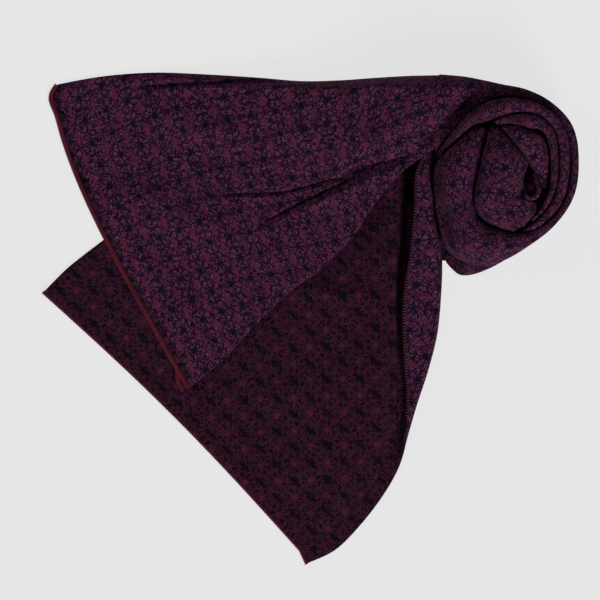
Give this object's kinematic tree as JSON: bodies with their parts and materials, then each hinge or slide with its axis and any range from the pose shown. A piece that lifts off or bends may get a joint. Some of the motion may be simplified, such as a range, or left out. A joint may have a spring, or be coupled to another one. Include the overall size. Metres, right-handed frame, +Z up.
{
  "type": "knitted scarf, laid flat with its middle wound into a roll",
  "caption": "Knitted scarf lying on a surface: two fanned tails with rolled end hems, and the middle wound into a soft roll.",
  "frame": {"origin": "middle of the layout's footprint, on the surface that it lies on", "axes": "+X towards the roll, along the layout's longest extent; +Y away from the front; +Z up, along its shortest extent"},
  "size_m": [0.4127, 0.379, 0.065],
  "materials": {
    "knit_right_side": "matte",
    "knit_wrong_side": "matte",
    "rolled_rim": "matte"
  },
  "bodies": {
    "root": {"upper_tail": "knit_right_side", "lower_tail": "knit_wrong_side", "roll_outer_turn": "knit_right_side", "roll_second_turn": "knit_right_side", "roll_third_turn": "knit_right_side", "roll_centre_panel": "knit_right_side", "roll_inner_fold": "knit_right_side", "roll_lower_layer": "knit_right_side", "roll_swirl": "rolled_rim", "hidden_layers": "knit_right_side", "upper_end_hem": "rolled_rim", "upper_end_hem_tucked": "rolled_rim", "lower_end_hem": "rolled_rim"}
  },
  "joints": []
}
